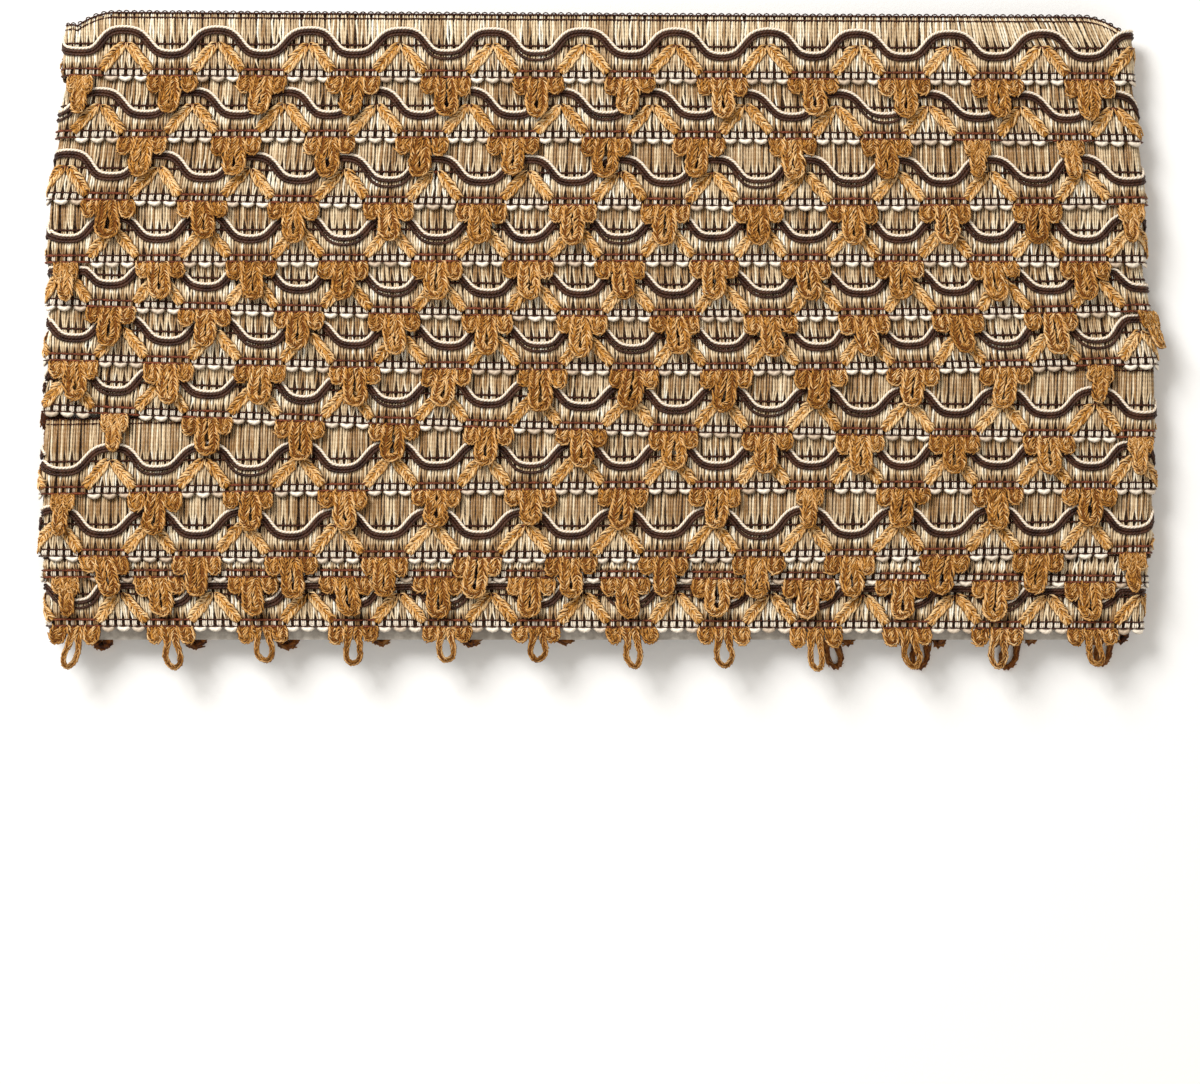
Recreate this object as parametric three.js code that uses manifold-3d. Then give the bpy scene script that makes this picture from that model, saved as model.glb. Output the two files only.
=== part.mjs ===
// A hank of scroll gimp trim, wound flat in eleven overlapping turns round a thin card.
// Millimetres. The hank lies on its back: +X along the turns, +Y to its top edge, +Z out of its face.

import * as THREE from "three";
import { mergeVertices } from "three/addons/utils/BufferGeometryUtils.js";
import Module from "manifold-3d";

const wasm = await Module();
wasm.setup();

// The trim, lying flat: heights are above the lower edge of its woven band
const REPEAT = 26.2; // one wave of the scroll cord, and one group of loops
const BAND_DEPTH = 20.2;
const BAND_THICK = 1.4;
const TOP_TURN_DEPTH = 18.2; // the first turn's upper edge leans back over the card
const TOP_CORNER_DEPTH = 14.5; // and drops at its rounded ends
const TOP_CORNER_SHARE = 0.05; // of its length at each end
const BURIED_THICK = 1.1; // what is left of a band's height at its covered upper edge
const CORD_TROUGH = 5.9;
const CORD_PEAK = 12.6;
const CORD_WIDTH = 3.2;
const CORD_HEIGHT = 0.7;
const STRIP_DEPTH = 1.5; // the heading that the loops grow from
const STRIP_TOP = 3.7;
const LOOP_WING = 7.3; // half the width of a loop group
const SHORT_LOOP = 5.7;
const LONG_LOOP = 11.7;
const LOOP_NECK = 2.9; // half the width of a long loop at its neck
const LOOP_TIP = 2.5; // and at its tip
const WING_ROOT = 6.4; // half the width of a group at its root
const WING_REACH = 4.6; // how far down a short loop is at its widest
const LOOP_UNEVEN = 0.6; // long loops differ by this much
const LEAN_UNEVEN = 0.7; // and lean to one side by this much
const SHORTEST_LOOP = 3.5; // behind the card, where turns crowd
const NEAR_FOLD = 5.1; // groups this close to a fold stand on edge
const LOOP_THICK = 1.0;
const ROOT_HEIGHT = 0.8; // how far a loop group reaches up into the heading
const ROOT_LIFT = 2.4; // a loop's underside over the card's winding, at its root
const LOOP_SLOPE = 0.19; // it rises towards its tip, over the cord of the turn below
const CROWDED_LIFT = 0.5; // more where the heading of the turn below is close
const CROWDED_PITCH = 10;
const GAP = 0.3;

// The card and the way the trim is wound on it
const CARD_THICK = 1.0;
const CARD_LEFT = -146.9;
const CARD_RIGHT = 146.0;
const CARD_BOTTOM = -84.0;
const CARD_TOP = 88.0;
const TURN_START = -3.0; // a turn begins a little before the face, on the left fold
const CORE = CARD_THICK / 2 + GAP; // half the slot that the winding leaves for the card
const TURN_MIDDLE = CORE + 1.5 * BAND_THICK; // radius of a fold at the middle of the layers
const TIP_LIFT = ROOT_LIFT + LOOP_SLOPE * (ROOT_HEIGHT + LONG_LOOP);
const REST = TIP_LIFT + LOOP_THICK; // how far the loops stand out of the winding, front and back
const FIRST_TAIL = 26; // the trim's first end, tucked behind the top left corner
const LAST_TAIL = 88; // and its last end, behind the lower right corner
const LAST_TURN_LEFT = -81.8; // where the last turn would come round to
const OPEN_PITCH = 15.4; // the step between turns, used where no turn lies above

// Each turn on the face: the height of its lower edge at the left, middle and right, where its outline
// ends at the left and right, the places of its first and last group of loops, and how many there are
const measured = [
  { edge: [74.2, 73.4, 72.8], outline: [-150.4, 149.5], loops: [-145.6, 136.6], groups: 12 },
  { edge: [56.8, 56.6, 55.7], outline: [-152.0, 151.5], loops: [-127.7, 131.6], groups: 11 },
  { edge: [39.5, 37.8, 38.1], outline: [-154.6, 152.9], loops: [-137.8, 148.7], groups: 12 },
  { edge: [21.8, 22.1, 21.8], outline: [-154.8, 152.6], loops: [-149.5, 135.5], groups: 12 },
  { edge: [9.8, 6.7, 8.1], outline: [-154.8, 154.0], loops: [-136.9, 152.9], groups: 12 },
  { edge: [-5.6, -8.4, -6.7], outline: [-155.4, 156.0], loops: [-147.3, 140.3], groups: 12 },
  { edge: [-19.9, -25.2, -27.2], outline: [-156.0, 155.1], loops: [-136.1, 151.5], groups: 12 },
  { edge: [-43.1, -41.7, -41.7], outline: [-156.8, 155.4], loops: [-150.4, 137.5], groups: 12 },
  { edge: [-60.5, -61.0, -59.6], outline: [-156.8, 154.3], loops: [-139.2, 149.2], groups: 12 },
  { edge: [-66.4, -66.6, -68.0], outline: [-156.2, 153.2], loops: [-149.8, 137.2], groups: 12 },
  { edge: [-80.1, -80.4, -80.9], outline: [-154.8, 152.0], loops: [-146.4, 137.8], groups: 12 },
];

// Loop groups that are turned on edge, so that only their long loop shows
const twisted = [
  { turn: 1, group: 9 },
  { turn: 1, group: 10 },
  { turn: 5, group: 11 },
  { turn: 6, group: 0 },
  { turn: 7, group: 8 },
];

// The winding: a turn runs along the face, over the right fold, back behind the card, and over the
// left fold to the start of the next turn. Distances along it are taken at the middle of the layers.
const FOLD = Math.PI * TURN_MIDDLE;
const turns = measured.map(({ edge, outline, loops, groups }, i) => {
  const [left, middle, right] = edge;
  const [first, last] = loops;
  const next = measured[i + 1] ?? { edge: [LAST_TURN_LEFT], outline };
  const foldLeft = outline[0] + TURN_MIDDLE;
  const foldRight = outline[1] - TURN_MIDDLE;
  const nextFoldLeft = next.outline[0] + TURN_MIDDLE;
  const face = foldRight - foldLeft;
  const back = foldRight - nextFoldLeft;
  const round = face + back + 2 * FOLD;
  const starts = i === 0 ? -FOLD - FIRST_TAIL : TURN_START;
  const ends = i === measured.length - 1 ? face + FOLD + LAST_TAIL : round + TURN_START;
  const bow = middle - (left + right) / 2;
  const heights = { left, right, bow, nextLeft: next.edge[0] };
  const lengths = { face, back, round, starts, ends };
  return { ...heights, ...lengths, first, last, groups, foldLeft, foldRight, nextFoldLeft };
});

// The stretch of a turn that a distance lies on, the share of it that is passed, and the angle turned
function stretchAt(turn, along) {
  const behind = along - turn.face - FOLD;
  if (along < -FOLD) return { name: "firstTail", share: -along - FOLD, angle: -Math.PI };
  if (along < 0) return { name: "firstFold", share: 0, angle: along / TURN_MIDDLE };
  if (along <= turn.face) return { name: "face", share: along / turn.face, angle: 0 };
  if (behind < 0) return { name: "rightFold", share: 1, angle: (along - turn.face) / TURN_MIDDLE };
  if (behind <= turn.back) return { name: "back", share: behind / turn.back, angle: Math.PI };
  return { name: "leftFold", share: 1, angle: Math.PI + (behind - turn.back) / TURN_MIDDLE };
}

// Height of a turn's lower edge: a shallow bow on the face, a slant behind the card
function edgeHeight(turn, along) {
  const { name, share } = stretchAt(turn, along);
  if (name === "face") {
    return THREE.MathUtils.lerp(turn.left, turn.right, share) + 4 * turn.bow * share * (1 - share);
  }
  if (name === "rightFold") return turn.right;
  if (name === "back") return THREE.MathUtils.lerp(turn.right, turn.nextLeft, share);
  return name === "leftFold" ? turn.nextLeft : turn.left;
}

// The turn that lies next above or below at a spot of a turn, and the same spot on it
function neighbourAt(turn, along, side) {
  const { name, share } = stretchAt(turn, along);
  if (turn === turns[0] && name === "leftFold" && side === "above") return { turn, along: -FOLD / 2 };
  const beside = turns[turns.indexOf(turn) + (side === "above" ? -1 : 1)];
  if (!beside || name === "firstTail") return null;
  const same = {
    firstFold: along,
    face: share * beside.face,
    rightFold: beside.face + FOLD / 2,
    back: beside.face + FOLD + share * beside.back,
    leftFold: beside.face + FOLD + beside.back + FOLD / 2,
  };
  return { turn: beside, along: same[name] };
}

// The step to the turn above, which covers what is higher, or to the turn below
function pitchAt(turn, along, side = "above") {
  const beside = neighbourAt(turn, along, side);
  return beside ? Math.abs(edgeHeight(beside.turn, beside.along) - edgeHeight(turn, along)) : OPEN_PITCH;
}

// The spot on the card's line, or the middle of the fold, that a distance along a turn belongs to
function coreX(turn, along) {
  const { name, share } = stretchAt(turn, along);
  const x = {
    firstTail: turn.foldLeft + share,
    firstFold: turn.foldLeft,
    face: turn.foldLeft + along,
    rightFold: turn.foldRight,
    back: turn.foldRight - share * turn.back,
    leftFold: turn.nextFoldLeft,
  };
  return x[name];
}

// A point of the trim: distance along the turn, height above its lower edge, and lift off the card.
// Between one turn and the next its place runs over into that of the other turn.
function wound(turn, along, height, lift) {
  const side = height > 0 ? "above" : "below";
  const beside = neighbourAt(turn, along, side);
  const share = Math.min(Math.abs(height) / pitchAt(turn, along, side), 1);
  const own = coreX(turn, along);
  const x = beside ? THREE.MathUtils.lerp(own, coreX(beside.turn, beside.along), share) : own;
  const { angle } = stretchAt(turn, along);
  const out = new THREE.Vector3(Math.sin(angle), 0, Math.cos(angle)).multiplyScalar(CORE + lift);
  return out.add(new THREE.Vector3(x, edgeHeight(turn, along) + height, 0));
}

// A flat piece of the trim keeps the direction of the winding at its own middle
function tangent(turn, middle, along, height, lift) {
  const { angle } = stretchAt(turn, middle);
  const way = new THREE.Vector3(Math.cos(angle), 0, -Math.sin(angle)).multiplyScalar(along - middle);
  return wound(turn, middle, height, lift).add(way);
}

// Stations along a turn: few where it runs straight, and enough round each fold
const FACE_STEPS = 4;
const BACK_STEPS = 2;
const FOLD_STEPS = 4;

function stations(turn, from, to) {
  const lengths = [
    { start: -FOLD - FIRST_TAIL, length: FIRST_TAIL, steps: 1 },
    { start: -FOLD, length: FOLD, steps: FOLD_STEPS },
    { start: 0, length: turn.face, steps: FACE_STEPS },
    { start: turn.face, length: FOLD, steps: FOLD_STEPS },
    { start: turn.face + FOLD, length: turn.back, steps: BACK_STEPS },
    { start: turn.face + FOLD + turn.back, length: FOLD, steps: FOLD_STEPS },
  ];
  const all = lengths.flatMap(({ start, length, steps }) =>
    Array.from({ length: steps }, (_, step) => start + (length * step) / steps),
  );
  return [from, ...all.filter((along) => along > from + GAP && along < to - GAP), to];
}

// Moves every corner of a geometry by a function of its place, and leaves one closed surface
function reshape(geometry, move) {
  geometry.deleteAttribute("normal");
  geometry.deleteAttribute("uv");
  const merged = mergeVertices(geometry, 1e-4);
  const place = merged.getAttribute("position");
  const corner = new THREE.Vector3();
  for (let i = 0; i < place.count; i++) {
    const moved = move(corner.fromBufferAttribute(place, i));
    place.setXYZ(i, moved.x, moved.y, moved.z);
  }
  return merged;
}

function toSolid(geometry) {
  return new wasm.Manifold(
    new wasm.Mesh({
      numProp: 3,
      vertProperties: new Float32Array(geometry.getAttribute("position").array),
      triVerts: new Uint32Array(geometry.index.array),
    }),
  );
}

function toGeometry(solid) {
  const mesh = solid.getMesh();
  const geometry = new THREE.BufferGeometry();
  geometry.setAttribute("position", new THREE.BufferAttribute(mesh.vertProperties, 3));
  geometry.setIndex(new THREE.BufferAttribute(mesh.triVerts, 1));
  geometry.computeVertexNormals();
  return geometry;
}

// Joins solids into one, welds its close corners, and drops the slivers between crossing faces
const WELD = 0.02;

function largestBody(solid) {
  return solid.decompose().reduce((largest, body) => (body.volume() > largest.volume() ? body : largest));
}

function joined(solids) {
  const whole = largestBody(solids.reduce((sum, solid) => sum.add(solid)));
  const welded = toGeometry(whole).deleteAttribute("normal");
  return largestBody(toSolid(mergeVertices(welded, WELD)));
}

// The groups of loops along a turn: as measured on the face, evenly shared out behind the card
function groupPlaces(turn) {
  const faceStep = (turn.last - turn.first) / (turn.groups - 1);
  const places = [];
  for (let k = 0; k < turn.groups; k++) places.push(turn.first - turn.foldLeft + k * faceStep);
  const next = turns[turns.indexOf(turn) + 1];
  const lastOnFace = places[turn.groups - 1];
  const firstOfNext = next ? turn.round + next.first - next.foldLeft : turn.ends;
  const steps = Math.round((firstOfNext - lastOnFace) / REPEAT);
  const step = next ? (firstOfNext - lastOnFace) / steps : REPEAT;
  for (let k = 1; k <= steps; k++) {
    if (lastOnFace + k * step < turn.ends - LOOP_NECK) places.push(lastOnFace + k * step);
  }
  for (let at = places[0] - REPEAT; at > turn.starts + LOOP_NECK; at -= REPEAT) places.unshift(at);
  return places;
}

// Wound braid: the band's turns as wedges, thin where the turn above covers them, joined in one solid
function bandDepth(turn, along) {
  if (turn !== turns[0]) return BAND_DEPTH;
  const { name, share } = stretchAt(turn, along);
  if (name === "back") return BAND_DEPTH;
  const inner = share > TOP_CORNER_SHARE && share < 1 - TOP_CORNER_SHARE;
  return name === "face" && inner ? TOP_TURN_DEPTH : TOP_CORNER_DEPTH;
}

function bandTurn(turn) {
  const overlap = 0.5; // each turn runs on a little into the next, so that they join
  const stops = stations(turn, turn.starts, turn.ends + (turn === turns.at(-1) ? 0 : overlap));
  const box = new THREE.BoxGeometry(1, 2, 1, stops.length - 1, 2, 1);
  const shaped = reshape(box, (corner) => {
    const along = stops[Math.round((corner.x + 0.5) * (stops.length - 1))];
    const depth = bandDepth(turn, along);
    const covered = Math.min(pitchAt(turn, along), depth - 1);
    const height = [STRIP_DEPTH + GAP, covered, depth][Math.round(corner.y) + 1];
    const open = 2 * BAND_THICK - (BAND_THICK * height) / Math.max(covered, 1);
    const top = corner.y > 0.5 ? BURIED_THICK : Math.max(open, BAND_THICK);
    const lift = corner.z > 0 ? top : 0;
    return wound(turn, along, height, lift);
  });
  return toSolid(shaped);
}

// Scroll cord: waves from group to group, low over each group of loops and high between them
const faceWave = [
  { share: 0.16, height: CORD_TROUGH },
  { share: 0.37, height: CORD_PEAK },
  { share: 0.63, height: CORD_PEAK },
  { share: 0.84, height: CORD_TROUGH },
];
const backWave = [
  { share: 0, height: CORD_TROUGH },
  { share: 0.5, height: CORD_PEAK },
];
const COVER_CLEARANCE = 2.6; // the cord's middle stays this far below the heading of the turn above
const LOOK_STEP = 2;
const KNOTS_APART = 1.0;

// The cord is left out where the turn above covers it
function openStretch(turn) {
  const open = [];
  for (let along = turn.starts + GAP / 2; along < turn.ends; along += LOOK_STEP) {
    if (pitchAt(turn, along) >= CROWDED_PITCH) open.push(along);
  }
  const toTheEnd = open.at(-1) > turn.ends - 2 * LOOK_STEP;
  return { from: open[0], to: toTheEnd ? turn.ends - GAP / 2 : open.at(-1) };
}

function cordKnots(turn, places) {
  const { from, to } = openStretch(turn);
  const fromFirst = [places[0] - REPEAT, ...places, places.at(-1) + REPEAT];
  const waves = fromFirst.slice(0, -1).flatMap((start, k) => {
    const step = fromFirst[k + 1] - start;
    const wave = stretchAt(turn, start).name === "back" ? backWave : faceWave;
    return wave.map(({ share, height }) => ({ along: start + share * step, height }));
  });
  const heightAt = (along) => {
    const after = waves.findIndex((knot) => knot.along > along);
    const a = waves[after - 1] ?? waves[0];
    const b = waves[after] ?? waves.at(-1);
    const share = b === a ? 0 : (along - a.along) / (b.along - a.along);
    return THREE.MathUtils.lerp(a.height, b.height, share);
  };
  const turning = (along) => !["face", "back", "firstTail"].includes(stretchAt(turn, along).name);
  const folds = stations(turn, from, to).filter(
    (along) => turning(along) || turning(along - GAP) || turning(along + GAP),
  );
  const between = waves.map((knot) => knot.along).filter((along) => along > from && along < to);
  const straight = between.filter((along) => !turning(along));
  const all = [from, ...folds, ...straight, to].sort((a, b) => a - b);
  const kept = all.filter((along, k) => k === 0 || along - all[k - 1] > KNOTS_APART || folds.includes(along));
  return [...new Set(kept)].map((along) => ({
    along,
    height: Math.min(heightAt(along), pitchAt(turn, along) - COVER_CLEARANCE),
  }));
}

function scrollCord(turn, places) {
  const knots = cordKnots(turn, places);
  const sides = 3;
  const rod = new THREE.CylinderGeometry(1, 1, 1, sides, knots.length - 1);
  const halfSide = Math.cos(Math.PI / 6); // of the unit triangle
  return reshape(rod, (corner) => {
    const { along, height } = knots[Math.round((corner.y + 0.5) * (knots.length - 1))];
    const centred = Math.hypot(corner.x, corner.z) < 0.5; // the middle of an end face
    const across = centred ? 0 : (-corner.x / halfSide) * (CORD_WIDTH / 2);
    const up = centred ? CORD_HEIGHT / 3 : ((corner.z + 0.5) / 1.5) * CORD_HEIGHT;
    const surface = 2 * BAND_THICK - (BAND_THICK * (height + across)) / pitchAt(turn, along);
    return wound(turn, along, height + across, surface + GAP + up);
  });
}

// Loop edge: a narrow heading along the band's lower edge, with a flat group of three loops per repeat
const uneven = (at) => Math.sin(at + 1.3);

function liftAt(height, crowded) {
  return ROOT_LIFT + LOOP_SLOPE * (ROOT_HEIGHT - height) + (crowded ? CROWDED_LIFT : 0);
}

function faceOutline(long, lean) {
  return new THREE.Shape([
    new THREE.Vector2(-WING_ROOT, ROOT_HEIGHT),
    new THREE.Vector2(-LOOP_WING, -WING_REACH),
    new THREE.Vector2(-LOOP_NECK, -SHORT_LOOP),
    new THREE.Vector2(lean - LOOP_TIP, -long),
    new THREE.Vector2(lean + LOOP_TIP, -long),
    new THREE.Vector2(LOOP_NECK, -SHORT_LOOP),
    new THREE.Vector2(LOOP_WING, -WING_REACH),
    new THREE.Vector2(WING_ROOT, ROOT_HEIGHT),
  ]);
}

function plainOutline(rootHalf, long) {
  return new THREE.Shape([
    new THREE.Vector2(-rootHalf, ROOT_HEIGHT),
    new THREE.Vector2(-LOOP_TIP, -long),
    new THREE.Vector2(LOOP_TIP, -long),
    new THREE.Vector2(rootHalf, ROOT_HEIGHT),
  ]);
}

function loopGroup(turn, middle, index) {
  const { name } = stretchAt(turn, middle);
  const onFace = name === "face";
  const onBack = name === "back" || name === "firstTail";
  const folds = [0, turn.face, turn.face + FOLD, turn.face + FOLD + turn.back];
  const nearFold = folds.some((fold) => Math.abs(middle - fold) < NEAR_FOLD);
  const turned = twisted.some((loop) => turns[loop.turn] === turn && loop.group === index);
  const onEdge = nearFold || (onFace && turned) || !(onFace || onBack);
  const below = pitchAt(turn, middle, "below");
  const room = onBack ? Math.max(below - STRIP_DEPTH - GAP, SHORTEST_LOOP) : LONG_LOOP;
  const long = Math.min(LONG_LOOP + LOOP_UNEVEN * (uneven(2.4 * index) - 1), room);
  const lean = LEAN_UNEVEN * uneven(1.7 * index);
  const behind = plainOutline(LOOP_WING, long);
  const outline = onEdge ? plainOutline(LOOP_NECK, long) : onBack ? behind : faceOutline(long, lean);
  const plate = new THREE.ExtrudeGeometry(outline, { depth: 1, steps: 1, bevelEnabled: false });
  return reshape(plate, (corner) => {
    const under = liftAt(corner.y, below < CROWDED_PITCH);
    const outer = onBack ? REST : under + LOOP_THICK;
    const point = tangent(turn, middle, middle + corner.x, corner.y, corner.z > 0.5 ? outer : under);
    point.z = Math.max(point.z, -CORE - REST); // pressed flat where the hank lies on it
    return point;
  });
}

function loopEdge(turn, places) {
  const stops = stations(turn, turn.starts + GAP / 2, turn.ends - GAP / 2);
  const box = new THREE.BoxGeometry(1, 1, 1, stops.length - 1, 1, 1);
  const strip = reshape(box, (corner) => {
    const along = stops[Math.round((corner.x + 0.5) * (stops.length - 1))];
    const height = corner.y > 0 ? STRIP_DEPTH : 0;
    return wound(turn, along, height, corner.z > 0 ? STRIP_TOP : BAND_THICK + GAP);
  });
  const onFace = places.findIndex((place) => place >= turn.first - turn.foldLeft - 1);
  const groups = places.map((place, k) => toSolid(loopGroup(turn, place, k - onFace)));
  return toGeometry(joined([toSolid(strip), ...groups]));
}

// Card: a thin stiff board, wholly inside the winding but for its lower edge
function card() {
  const board = new THREE.BoxGeometry(CARD_RIGHT - CARD_LEFT, CARD_TOP - CARD_BOTTOM, CARD_THICK);
  return board.translate((CARD_LEFT + CARD_RIGHT) / 2, (CARD_TOP + CARD_BOTTOM) / 2, 0);
}

const materials = {
  braid: new THREE.MeshStandardMaterial({ name: "braid", color: 0xd8c493, roughness: 0.6, metalness: 0 }),
  cord: new THREE.MeshStandardMaterial({ name: "cord", color: 0x4a332e, roughness: 0.7, metalness: 0 }),
  loops: new THREE.MeshStandardMaterial({ name: "loops", color: 0xb9803c, roughness: 0.8, metalness: 0 }),
  card: new THREE.MeshStandardMaterial({ name: "card", color: 0xa39b92, roughness: 0.9, metalness: 0 }),
};

const group = new THREE.Group();

function addPiece(name, geometry, material) {
  const piece = new THREE.Mesh(geometry, material);
  piece.name = name;
  group.add(piece);
}

addPiece("wound_braid", toGeometry(joined(turns.map(bandTurn))), materials.braid);
addPiece("card", card(), materials.card);
turns.forEach((turn, i) => {
  const number = String(i + 1).padStart(2, "0");
  const places = groupPlaces(turn);
  addPiece("scroll_cord_" + number, scrollCord(turn, places), materials.cord);
  addPiece("loop_edge_" + number, loopEdge(turn, places), materials.loops);
});

// The origin is the middle of the underside
const box = new THREE.Box3().setFromObject(group, true);
const middle = box.getCenter(new THREE.Vector3());
group.position.set(-middle.x, -middle.y, -box.min.z);

export default group;
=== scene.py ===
import math
from types import SimpleNamespace

import bmesh
import bpy
import numpy as np
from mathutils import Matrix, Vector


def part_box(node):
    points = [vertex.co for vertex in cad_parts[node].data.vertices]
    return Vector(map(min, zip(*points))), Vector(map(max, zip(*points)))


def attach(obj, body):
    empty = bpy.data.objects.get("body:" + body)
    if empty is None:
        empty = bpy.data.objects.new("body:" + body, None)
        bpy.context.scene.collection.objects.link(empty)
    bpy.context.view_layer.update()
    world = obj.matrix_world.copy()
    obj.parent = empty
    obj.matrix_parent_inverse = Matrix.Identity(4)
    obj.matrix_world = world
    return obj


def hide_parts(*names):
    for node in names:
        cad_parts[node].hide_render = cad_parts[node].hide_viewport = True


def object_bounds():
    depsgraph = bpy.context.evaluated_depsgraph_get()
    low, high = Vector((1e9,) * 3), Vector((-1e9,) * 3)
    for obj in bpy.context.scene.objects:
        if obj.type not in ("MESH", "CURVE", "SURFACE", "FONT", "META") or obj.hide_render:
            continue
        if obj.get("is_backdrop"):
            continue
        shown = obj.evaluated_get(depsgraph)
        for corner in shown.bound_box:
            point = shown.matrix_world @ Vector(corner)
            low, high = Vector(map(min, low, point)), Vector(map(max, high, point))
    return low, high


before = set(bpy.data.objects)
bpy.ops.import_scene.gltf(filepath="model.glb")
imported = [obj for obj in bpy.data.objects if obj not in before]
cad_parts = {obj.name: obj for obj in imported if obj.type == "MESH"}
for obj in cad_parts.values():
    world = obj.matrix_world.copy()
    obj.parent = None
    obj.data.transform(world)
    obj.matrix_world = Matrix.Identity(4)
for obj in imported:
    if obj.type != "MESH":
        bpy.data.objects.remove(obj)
cad_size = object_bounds()

# The hank lies on a white sheet and is seen from straight above, through a long lens. One pixel of the
# photograph is 0.28 mm on its face, and the drawing's zero is 600 pixels across and 340 down.
PIXEL = 0.28
DRAWN_CORNER = np.array([-146.9, -84.0, -0.5])  # the card's lowest corner on the drawing
to_frame = np.array(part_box("card")[0]) * 1000 - DRAWN_CORNER

camera = bpy.data.objects.new("camera", bpy.data.cameras.new("camera"))
bpy.context.scene.collection.objects.link(camera)
bpy.context.scene.camera = camera
camera.data.lens = 100
camera.data.sensor_width = 36
camera.data.dof.use_dof = False
face_width = 1200 * PIXEL
face_lift = 4.0  # the face of the winding over the card's middle
camera_place = to_frame + [0, (340 - 542) * PIXEL, face_lift + face_width * 100 / 36]
camera.location = camera_place / 1000


def linear(hex_colour):
    """An sRGB colour in hex as linear light."""
    parts = [int(hex_colour[k : k + 2], 16) / 255 for k in (1, 3, 5)]
    return [c / 12.92 if c <= 0.04045 else ((c + 0.055) / 1.055) ** 2.4 for c in parts] + [1]


def node(tree, kind, settings={}, sockets={}):
    """Adds a shader node with its settings, and its sockets' values or links."""
    new = tree.nodes.new("ShaderNode" + kind)
    for name, value in settings.items():
        setattr(new, name, value)
    for name, value in sockets.items():
        if isinstance(value, bpy.types.NodeSocket):
            tree.links.new(value, new.inputs[name])
        else:
            new.inputs[name].default_value = value
    return new


def new_material(name):
    """An empty material and its node tree."""
    made = bpy.data.materials.new(name)
    made.use_nodes = True
    made.node_tree.nodes.clear()
    return made, made.node_tree


def finished(tree, settings):
    """Ends a material in one principled shader."""
    shader = node(tree, "BsdfPrincipled", sockets=settings)
    node(tree, "OutputMaterial", sockets={"Surface": shader.outputs["BSDF"]})


# The sheet under the hank: white background paper, uncoated and rolled out flat. It is matt, and its
# tooth, with spots of about 1 mm, is so faint that only the soft shadows show it.
paper, tree = new_material("background_paper_uncoated")
place = node(tree, "TexCoord").outputs["Object"]
tooth = node(tree, "TexNoise", sockets={"Vector": place, "Scale": 900, "Detail": 3})
relief = node(tree, "Bump", sockets={"Height": tooth.outputs["Fac"], "Distance": 0.00005})
colours = {"Base Color": linear("#F7F6F4"), "Roughness": 0.85, "Normal": relief.outputs["Normal"]}
finished(tree, colours)

bm = bmesh.new()
bmesh.ops.create_grid(bm, x_segments=1, y_segments=1, size=3)
sheet = bpy.data.meshes.new("paper_sheet")
bm.to_mesh(sheet)
sheet.materials.append(paper)
floor = bpy.data.objects.new("paper_sheet", sheet)
bpy.context.scene.collection.objects.link(floor)
floor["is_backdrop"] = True

# Two soft boxes and pale walls: the stronger lamp stands beyond the hank's top edge, as the shading of
# the loops shows, and the weaker one fills from the near side.
for name, place, size, power in [
    ("key_soft_box", (-0.75, 0.9, 1.1), 0.7, 28.0),
    ("fill_soft_box", (0.4, -1.1, 1.3), 1.0, 5.0),
]:
    lamp = bpy.data.objects.new(name, bpy.data.lights.new(name, "AREA"))
    bpy.context.scene.collection.objects.link(lamp)
    lamp.data.shape = "SQUARE"
    lamp.data.size = size
    lamp.data.energy = power
    lamp.location = place
    lamp.rotation_euler = (-lamp.location).to_track_quat("-Z", "Y").to_euler()
walls = bpy.data.worlds.new("pale_walls")
bpy.context.scene.world = walls
walls.use_nodes = True
walls.node_tree.nodes["Background"].inputs["Color"].default_value = linear("#FBF6EE")
walls.node_tree.nodes["Background"].inputs["Strength"].default_value = 0.5
bpy.context.scene.view_settings.view_transform = "Standard"

# The card that the trim is wound on: grey board, pressed from waste paper in layers, cut with a knife.
# Only its lower edge shows, between the loops of the last turn. It looks matt and a little uneven: short
# fibres of about 1.4 mm lie in it at random, in pale and dark clouds of about 17 mm.
board, tree = new_material("grey_board_pressed")
place = node(tree, "TexCoord").outputs["Object"]
fine = {"Vector": place, "Scale": 700, "Detail": 6, "Roughness": 0.7}
fibres = node(tree, "TexNoise", sockets=fine)
clouds = node(tree, "TexNoise", sockets={"Vector": place, "Scale": 60, "Detail": 2})
together = {0: fibres.outputs["Fac"], 1: clouds.outputs["Fac"]}
both = node(tree, "Math", {"operation": "MULTIPLY"}, together)
tone = node(tree, "ValToRGB", sockets={"Fac": both.outputs[0]})
tone.color_ramp.elements[0].position = 0.15
tone.color_ramp.elements[0].color = linear("#A79E92")
tone.color_ramp.elements[1].position = 0.4
tone.color_ramp.elements[1].color = linear("#D2CABD")
relief = node(tree, "Bump", sockets={"Height": fibres.outputs["Fac"], "Distance": 0.0001, "Strength": 0.6})
finished(tree, {"Base Color": tone.outputs["Color"], "Roughness": 0.9, "Normal": relief.outputs["Normal"]})
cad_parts["card"].data.materials.clear()
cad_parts["card"].data.materials.append(board)

# The winding: eleven turns of one trim round the card, each a step below the last and half under it.
# A turn runs along the face, over the right fold, back behind, and over the left fold. Millimetres.
REPEAT = 26.2
BAND_DEPTH = 20.2
DROPPED_DEPTH = 21.0  # of the eighth turn, which has dropped clear of the one above
BAND_THICK = 1.4
CORE = 0.8  # half the depth of the slot for the card
TURN_MIDDLE = CORE + 1.5 * BAND_THICK
FOLD = math.pi * TURN_MIDDLE
OPEN_PITCH = 15.4  # the step where there is no next turn
TURN_START = -3.0  # each turn starts this far back in the left fold
LOOP_NECK = 2.9  # the room that a group of loops needs at a turn's ends
START_TAIL = 26  # of the trim's first end, tucked behind the top left corner
END_TAIL = 88  # and of its last end, behind the lower right corner
AFTER_LAST_LEFT = -81.8  # the height where the last turn would come round to
REST = 5.775  # how far the loops' outer faces stand over the slot for the card
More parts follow.
